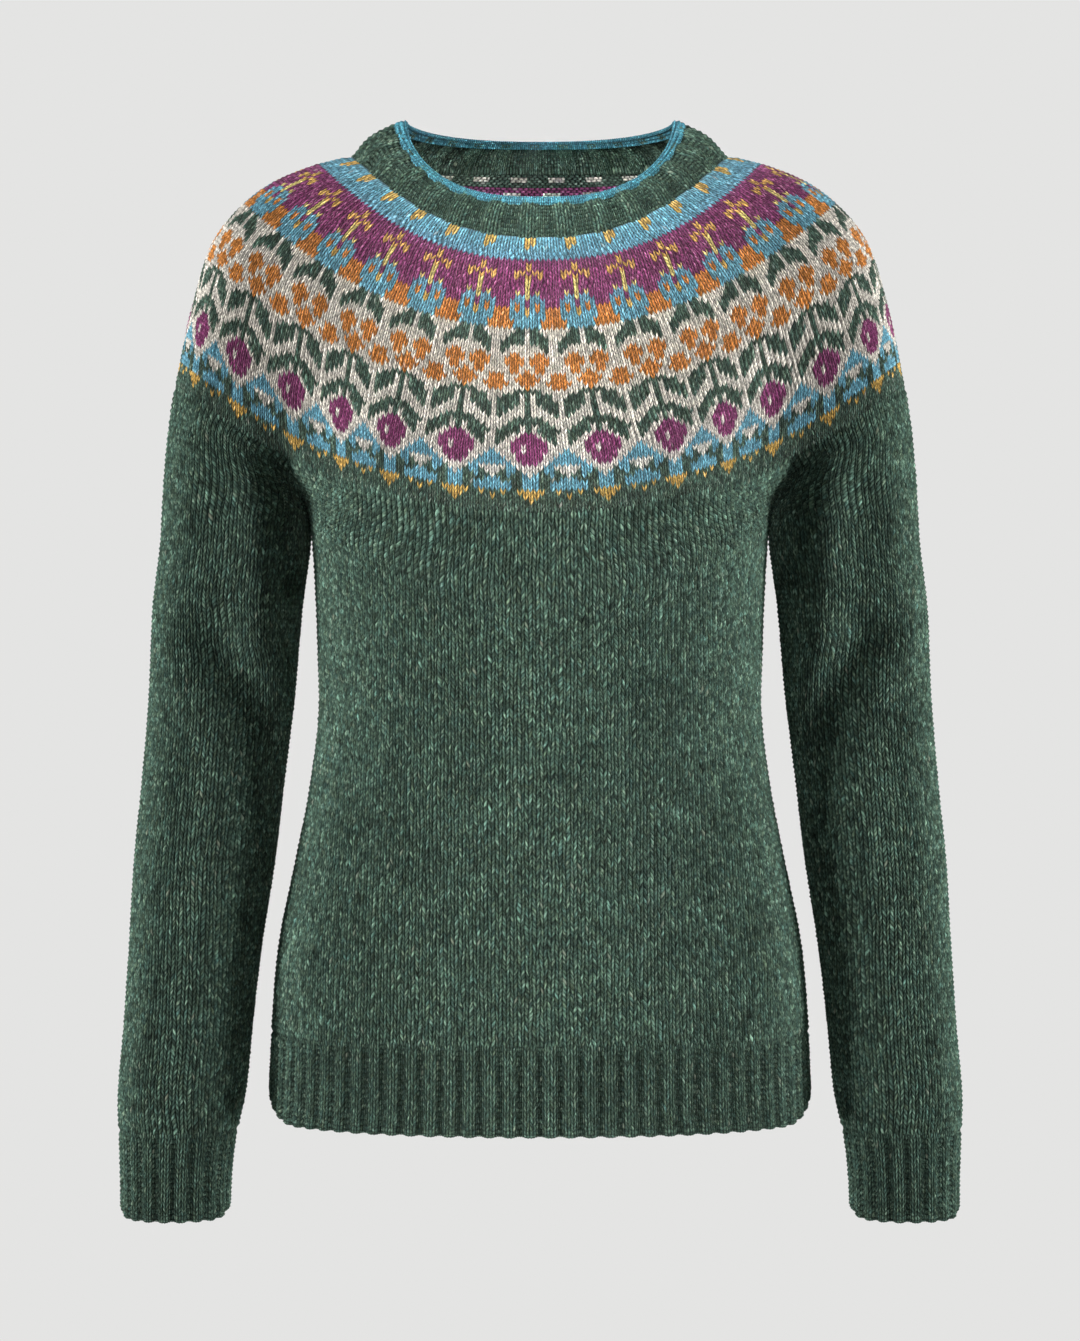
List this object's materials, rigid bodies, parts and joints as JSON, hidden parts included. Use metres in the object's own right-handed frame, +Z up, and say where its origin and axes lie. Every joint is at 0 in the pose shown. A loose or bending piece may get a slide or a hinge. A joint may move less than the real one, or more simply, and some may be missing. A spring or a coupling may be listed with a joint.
{
  "type": "boat neck sweater",
  "caption": "Long-sleeved pullover with a wide ribbed neckband, a round patterned yoke, and ribbed hem and cuffs, filled out as worn with no wearer.",
  "frame": {"origin": "middle of the neck opening, level with the neckband seam at the shoulders", "axes": "+Z up, -Y the front of the garment, +X the wearer's left; the garment hangs as worn"},
  "size_m": [0.5256, 0.258, 0.6899],
  "materials": {
    "green_wool": "heathered dark green wool knit",
    "patterned_wool": "stranded wool knit in ecru, green, blue, plum, orange and yellow",
    "blue_wool": "light blue wool knit"
  },
  "bodies": {
    "root": {"neck_edge": "blue_wool", "neckband": "green_wool", "yoke": "patterned_wool", "front": "green_wool", "back": "green_wool", "hem_rib_front": "green_wool", "hem_rib_back": "green_wool", "sleeve_left": "green_wool", "sleeve_right": "green_wool", "cuff_left": "green_wool", "cuff_right": "green_wool"}
  },
  "joints": []
}
